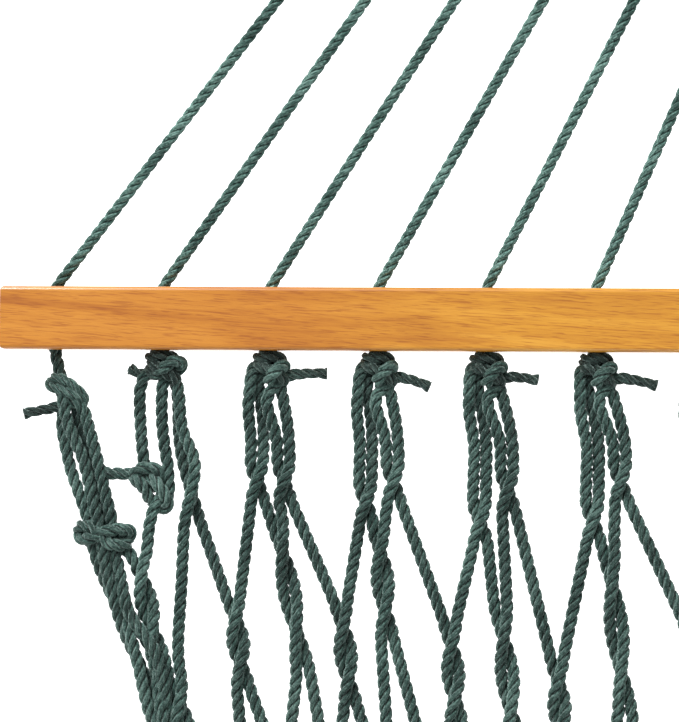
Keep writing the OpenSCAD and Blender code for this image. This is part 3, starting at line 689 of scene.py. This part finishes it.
def make_net(material):
    """The netting, a few holes to a piece, and its fine stretches near the head bar."""
    twists = make_twists()
    hangs = {(i, end): (rng.uniform(-2, 2), rng.uniform(70, 82), rng.uniform(70, 82))
             for i in range(HOLE_COUNT) for end in ("head", "foot")}
    for i, hang in HANGS.items():
        hangs[i, "head"] = hang
    # Two pieces share the fine stretches, four holes at a time
    near = [RopeMesh(), RopeMesh()]
    for group in range(HOLE_COUNT // HOLES_A_PIECE):
        rope = RopeMesh()
        for i in range(HOLES_A_PIECE * group, HOLES_A_PIECE * (group + 1)):
            for s in range(4):
                run = smooth(resample(strand_rows(i, s, twists, hangs), STEP), 3.2 * MM)
                fine = (run[:, 1] < NEAR_U) & (i < NEAR_HOLES)
                from_bar = np.minimum(run[:, 1], BED_LENGTH - run[:, 1])
                shade = rng.uniform(0.86, 1.16) * (1 - 0.5 * np.exp(-(from_bar / BAR_SHADOW) ** 2))
                # Under the bars the lower ropes of each four lie in the upper ones' shade
                near_bar = np.exp(-(from_bar / ROPE_SHADOW) ** 2)
                shade *= 1 + np.clip(80 * run[:, 2], -0.3, 0.16) * near_bar
                add_split_rope(near[i // 4 % 2], rope, bed_points(run), fine, NET_R, NET_GROOVE, shade)
        piece = rope.build("net_ropes_%d" % (group + 1), material)
        if group == 0:
            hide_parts("net_bed", "net_edge_left", "net_edge_right")
    for number, mesh in enumerate(near):
        mesh.build("net_ropes_near_%d" % (number + 1), material)


# ---- Knots ----
def hole_knot(i, reach, droop):
    """The ropes of the knot under hole i. Each is rows of (v, u, h) in metres, a radius, a shade, and
    whether it ends in a tail. reach and droop say how the tail differs from BIGHT's, in mm."""
    across = (HOLE_MARGIN + i * hole_pitch) / MM
    bight = np.array(SECOND_BIGHT if i == 1 else BIGHT, dtype=float)
    if i > 1:
        tail = bight[-4:]
        # How far out along the tail each of these points lies, from 0 to 1
        out = np.clip((tail[:, 0] - 8) / 24, 0, 1)
        tail[:, 0] += reach * out
        tail[:, 1] += droop * out ** 1.3
    # The collar and the hitch right under the bar are painted darker, a painted shadow of the bar
    return [(local(COLLAR, across), KNOT_R, COLLAR_PAINTED_SHADOW, False),
            (local(HITCH, across), KNOT_R, COLLAR_PAINTED_SHADOW, False),
            (local(bight, across), KNOT_R, 1.1, True)]


def corner_knots():
    """The ropes of one corner that end in it: the edge knot, the side knot and the gathering knot."""
    plain = [EDGE_DROP, CROSS_ROPE, LEG_OUTER, LEG_INNER, SIDE_KNOT, SIDE_KNOT_TURN, SIDE_KNOT_BIGHT,
             GATHER]
    return ([(local(rows), KNOT_R, 1.0, False) for rows in plain]
            + [(local(EDGE_WRAP), EDGE_KNOT_R, 1.15, False), (local(EDGE_TURN), EDGE_KNOT_R, 1.15, False),
               (local(EDGE_TAIL), KNOT_R, 1.1, True)])


def make_knots(material):
    ways = {("head", False): lambda rows: rows,
            ("head", True): flipped,
            ("foot", False): lambda rows: flipped(turned(rows))[::-1],
            ("foot", True): lambda rows: turned(rows)[::-1]}
    for end in ("head", "foot"):
        rope, seen = RopeMesh(), RopeMesh()
        for i in range(HOLE_COUNT):
            flip = i >= HOLE_COUNT / 2
            outer = HOLE_COUNT - 1 - i if flip else i
            near = end == "head" and i < NEAR_HOLES
            tail = TAILS[i] if end == "head" and i in TAILS else (rng.uniform(-4, 1), rng.uniform(-1, 8))
            ropes = corner_knots() if outer == 0 else hole_knot(outer, *tail)
            for rows, radius, shade, has_tail in ropes:
                line = bed_points(curve(ways[end, flip](rows), 1.6 * MM))
                mesh, detail = (seen, "fine") if near else (rope, "mid")
                add_rope(mesh, line, detail, radius, NET_GROOVE, shade, has_tail)
        piece = rope.build("bar_knots_%s_laid" % end, material)
        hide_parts("bar_knots_" + end)
        if end == "head":
            seen.build("bar_knots_head_corner", material)


# ---- Materials ----
def new_material(name):
    material = bpy.data.materials.new(name)
    material.use_nodes = True
    nodes = material.node_tree.nodes
    return material, nodes, material.node_tree.links, nodes["Principled BSDF"]


def add_node(nodes, kind, settings=None, **inputs):
    node = nodes.new(kind)
    for key, value in (settings or {}).items():
        setattr(node, key, value)
    for key, value in inputs.items():
        node.inputs[key.replace("_", " ")].default_value = value
    return node


def add_ramp(nodes, stops):
    """A colour ramp with (place, colour) stops."""
    node = nodes.new("ShaderNodeValToRGB")
    elements = node.color_ramp.elements
    elements.remove(elements[-1])
    elements[0].position, elements[0].color = stops[0][0], (*stops[0][1], 1)
    for place, colour in stops[1:]:
        elements.new(place).color = (*colour, 1)
    return node


def add_multiply(nodes, links, amount, first, second):
    """Multiplies two colours, by an amount from 0 to 1."""
    node = add_node(nodes, "ShaderNodeMix", {"data_type": "RGBA", "blend_type": "MULTIPLY"})
    node.inputs["Factor"].default_value = amount
    links.new(first, node.inputs[6])
    links.new(second, node.inputs[7])
    return node.outputs[2]


def add_math(nodes, links, operation, *values):
    node = nodes.new("ShaderNodeMath")
    node.operation = operation
    for socket, value in zip(node.inputs, values):
        if isinstance(value, (int, float)):
            socket.default_value = value
        else:
            links.new(value, socket)
    return node.outputs[0]


def rope_material():
    """Dyed spun yarn. The mesh's lay attribute holds the distance along the rope, the angle round a
    strand, and the reach from the rope's middle. Its shade attribute makes a stretch darker or paler."""
    material, nodes, links, shader = new_material("green_rope")
    layer = add_node(nodes, "ShaderNodeAttribute", {"attribute_name": "lay"})
    lay = nodes.new("ShaderNodeSeparateXYZ")
    links.new(layer.outputs["Vector"], lay.inputs[0])
    # The yarns run nearly along the rope, because they are twisted against the strands
    turn_rate = 2 * math.pi / ROPE_LAY
    yarn_angle = add_math(nodes, links, "MULTIPLY_ADD", lay.outputs["X"], turn_rate, lay.outputs["Y"])
    across = add_math(nodes, links, "MULTIPLY", yarn_angle, 1.9)
    along = add_math(nodes, links, "MULTIPLY", lay.outputs["X"], 230)
    yarn_place = nodes.new("ShaderNodeCombineXYZ")
    links.new(across, yarn_place.inputs["X"])
    links.new(along, yarn_place.inputs["Y"])
    yarn = add_node(nodes, "ShaderNodeTexNoise", Scale=1.0, Detail=3.0, Roughness=0.7)
    links.new(yarn_place.outputs[0], yarn.inputs["Vector"])
    place = nodes.new("ShaderNodeTexCoord")
    fuzz = add_node(nodes, "ShaderNodeTexNoise", Scale=900.0, Detail=3.0, Roughness=0.7)
    links.new(place.outputs["Object"], fuzz.inputs["Vector"])
    patch = add_node(nodes, "ShaderNodeTexNoise", Scale=38.0, Detail=2.0)
    links.new(place.outputs["Object"], patch.inputs["Vector"])
    fibre = add_math(nodes, links, "MULTIPLY_ADD", fuzz.outputs["Fac"], 0.8, yarn.outputs["Fac"])
    tone = add_math(nodes, links, "MULTIPLY_ADD", patch.outputs["Fac"], 0.5, fibre)
    dye = add_ramp(nodes, [(0.0, ROPE_DARK), (0.5, ROPE_GREEN), (1.0, ROPE_PALE)])
    spread = add_node(nodes, "ShaderNodeMapRange", From_Min=0.95, From_Max=1.37)
    links.new(tone, spread.inputs["Value"])
    links.new(spread.outputs["Result"], dye.inputs[0])
    # Painted shade darkens the grooves between the strands, and a painted highlight makes their shoulders
    # pale
    levels = ((0.40, 0.08), (0.66, 0.34), (0.76, 1.15), (0.84, 1.75), (0.91, 1.05), (0.98, 0.95))
    groove = add_ramp(nodes, [(reach, (level,) * 3) for reach, level in levels])
    links.new(lay.outputs["Z"], groove.inputs[0])
    colour = add_multiply(nodes, links, 1.0, dye.outputs["Color"], groove.outputs["Color"])
    # The shade attribute scales the colour: a random tone and the darker tails, with a painted shadow under
    # the bars, painted shade on the lower ropes and painted light on the clews
    shade = add_node(nodes, "ShaderNodeAttribute", {"attribute_name": "shade"})
    colour = add_multiply(nodes, links, 1.0, colour, shade.outputs["Fac"])
    links.new(colour, shader.inputs["Base Color"])
    bump = add_node(nodes, "ShaderNodeBump", Strength=1.0, Distance=0.0012)
    links.new(fibre, bump.inputs["Height"])
    links.new(bump.outputs["Normal"], shader.inputs["Normal"])
    shader.inputs["Roughness"].default_value = 0.62
    shader.inputs["Specular IOR Level"].default_value = 0.3
    shader.inputs["Sheen Weight"].default_value = 0.6
    shader.inputs["Sheen Roughness"].default_value = 0.25
    shader.inputs["Sheen Tint"].default_value = (0.75, 1.0, 0.93, 1)
    return material


def oak_material():
    """Honey oak under clear varnish. The grain runs along Y."""
    material, nodes, links, shader = new_material("varnished_oak")
    place = nodes.new("ShaderNodeTexCoord")
    turn = add_node(nodes, "ShaderNodeMapping", Rotation=(0, 0, math.radians(4)))
    links.new(place.outputs["Object"], turn.inputs["Vector"])

    def grain(across, along, detail, distortion):
        stretch = add_node(nodes, "ShaderNodeMapping", Scale=(across, along, across))
        links.new(turn.outputs[0], stretch.inputs["Vector"])
        noise = add_node(nodes, "ShaderNodeTexNoise", Scale=1.0, Detail=detail, Roughness=0.6,
                         Distortion=distortion)
        links.new(stretch.outputs[0], noise.inputs["Vector"])
        return noise.outputs["Fac"]

    broad, streaks, pores = grain(75, 6, 3.0, 1.2), grain(620, 22, 4.0, 1.0), grain(1500, 55, 2.0, 0.3)
    base = add_ramp(nodes, [(0.3, OAK_DARK), (0.5, OAK_MID), (0.72, OAK_LIGHT)])
    links.new(broad, base.inputs[0])
    early = add_ramp(nodes, [(0.34, (0.84, 0.74, 0.60)), (0.5, (1, 1, 1)), (0.66, (1.08, 1.11, 1.2))])
    links.new(streaks, early.inputs[0])
    flecks = add_ramp(nodes, [(0.36, (0.66, 0.5, 0.34)), (0.47, (1, 1, 1))])
    links.new(pores, flecks.inputs[0])
    colour = add_multiply(nodes, links, 0.7, base.outputs["Color"], early.outputs["Color"])
    colour = add_multiply(nodes, links, 0.75, colour, flecks.outputs["Color"])
    # Painted light: a slow wave along the bar's length paints it between redder and paler, standing in for
    # light that falls unevenly along the bar
    axes = nodes.new("ShaderNodeSeparateXYZ")
    links.new(place.outputs["Object"], axes.inputs[0])
    phase = add_math(nodes, links, "MULTIPLY_ADD", axes.outputs["Y"], 11, -2.4)
    wave = add_math(nodes, links, "SINE", phase)
    painted_light_wave = add_ramp(nodes, [(0.3, (1.0, 0.99, 1.0)), (0.9, (1.17, 1.42, 1.6))])
    links.new(add_math(nodes, links, "MULTIPLY_ADD", wave, 0.5, 0.5), painted_light_wave.inputs[0])
    colour = add_multiply(nodes, links, 1.0, colour, painted_light_wave.outputs["Color"])
    links.new(colour, shader.inputs["Base Color"])
    bump = add_node(nodes, "ShaderNodeBump", Strength=0.1, Distance=0.0003)
    links.new(pores, bump.inputs["Height"])
    links.new(bump.outputs["Normal"], shader.inputs["Normal"])
    shader.inputs["Roughness"].default_value = 0.4
    shader.inputs["Coat Weight"].default_value = 0.5
    shader.inputs["Coat Roughness"].default_value = 0.14
    return material


def mottled_material(name, dark, light, scale, roughness, bump_depth=0.0, metallic=0.0):
    """A finish whose colour and gloss vary a little from place to place, over a fine bump."""
    material, nodes, links, shader = new_material(name)
    place = nodes.new("ShaderNodeTexCoord")
    noise = add_node(nodes, "ShaderNodeTexNoise", Scale=scale, Detail=3.0)
    links.new(place.outputs["Object"], noise.inputs["Vector"])
    tone = add_ramp(nodes, [(0.35, dark), (0.65, light)])
    links.new(noise.outputs["Fac"], tone.inputs[0])
    links.new(tone.outputs["Color"], shader.inputs["Base Color"])
    gloss = add_node(nodes, "ShaderNodeMapRange", To_Min=roughness[0], To_Max=roughness[1])
    links.new(noise.outputs["Fac"], gloss.inputs["Value"])
    links.new(gloss.outputs["Result"], shader.inputs["Roughness"])
    if bump_depth:
        bump = add_node(nodes, "ShaderNodeBump", Strength=0.35, Distance=bump_depth)
        links.new(noise.outputs["Fac"], bump.inputs["Height"])
        links.new(bump.outputs["Normal"], shader.inputs["Normal"])
    shader.inputs["Metallic"].default_value = metallic
    return material


def powder_coat_material():
    return mottled_material("powder_coat", (0.020, 0.023, 0.022), (0.036, 0.040, 0.038), 1400,
                            (0.34, 0.48), bump_depth=0.00012)


def zinc_material():
    return mottled_material("zinc_plate", (0.13, 0.135, 0.145), (0.34, 0.35, 0.365), 180,
                            (0.22, 0.42), metallic=1.0)


def plastic_material():
    return mottled_material("moulded_plastic", (0.014, 0.014, 0.015), (0.022, 0.022, 0.023), 2600,
                            (0.42, 0.55), bump_depth=0.00005)


def rubber_material():
    return mottled_material("rubber", (0.012, 0.012, 0.012), (0.020, 0.020, 0.020), 900,
                            (0.66, 0.85), bump_depth=0.0001)


# ---- Room ----
def make_floor():
    material, _, _, shader = new_material("floor")
    shader.inputs["Base Color"].default_value = (0.93, 0.93, 0.93, 1)
    shader.inputs["Roughness"].default_value = 0.9
    shader.inputs["Emission Color"].default_value = (1, 1, 1, 1)
    shader.inputs["Emission Strength"].default_value = FLOOR_GLOW
    reach = 200
    low = -0.5 * MM
    mesh = bpy.data.meshes.new("floor")
    corners = [(-reach, -reach, low), (reach, -reach, low), (reach, reach, low), (-reach, reach, low)]
    mesh.from_pydata(corners, [], [(0, 1, 2, 3)])
    mesh.materials.append(material)
    floor = bpy.data.objects.new("floor", mesh)
    bpy.context.scene.collection.objects.link(floor)


def make_light(name, place, aim, size, power):
    light = bpy.data.lights.new(name, "AREA")
    light.size = size
    light.energy = power
    lamp = bpy.data.objects.new(name, light)
    bpy.context.scene.collection.objects.link(lamp)
    back = unit(np.array(place) - np.array(aim))
    right = unit(np.cross([0.01, 1.0, 0], back))
    lamp.matrix_world = placed(right, np.cross(back, right), back, place)


def make_room():
    """A pale studio: soft light from everywhere, a key and a rim light from beyond the head end, and a
    weaker fill from over the bed."""
    scene = bpy.context.scene
    scene.view_settings.view_transform = "Standard"
    scene.world = bpy.data.worlds.new("studio")
    scene.world.use_nodes = True
    sky = scene.world.node_tree.nodes["Background"]
    sky.inputs["Color"].default_value = (1, 1, 1, 1)
    # The sky lights the object softly, but is as white as the floor where the camera looks straight at it
    nodes, links = scene.world.node_tree.nodes, scene.world.node_tree.links
    ray = nodes.new("ShaderNodeLightPath")
    strength = add_node(nodes, "ShaderNodeMapRange", To_Min=SKY, To_Max=1.0)
    links.new(ray.outputs["Is Camera Ray"], strength.inputs["Value"])
    links.new(strength.outputs["Result"], sky.inputs["Strength"])
    corner = bar_mid + [-0.1, 0.45, 0]
    key_way = unit(0.66 * clew_dir + 0.66 * clew_up + np.array([0, 0.36, 0]))
    make_light("key", corner + KEY_DISTANCE * key_way, corner, KEY_SIZE, KEY_POWER)
    rim_way = unit(0.9 * clew_dir + 0.28 * clew_up + np.array([0, 0.4, 0]))
    make_light("rim", corner + KEY_DISTANCE * rim_way, corner, KEY_SIZE, RIM_POWER)
    fill_way = unit(-0.9 * clew_dir + 0.45 * clew_up + np.array([0, -0.3, 0]))
    make_light("fill", corner + KEY_DISTANCE * fill_way, corner, 2.0, FILL_POWER)
    make_floor()


# ---- The whole object ----
look_camera()
make_room()
rope = rope_material()
make_clews(rope)
make_net(rope)
make_knots(rope)
finishes = {"frame_steel": powder_coat_material(), "plastic_cap": plastic_material(),
            "rubber": rubber_material(), "zinc_steel": zinc_material(), "oak": oak_material(),
            "rope": rope}
slots = {row["node"]: row["material_slot"] for row in frame["record"]["subparts"]}
for name, node in frame["nodes"].items():
    node.data.materials.clear()
    node.data.materials.append(finishes[slots[name]])
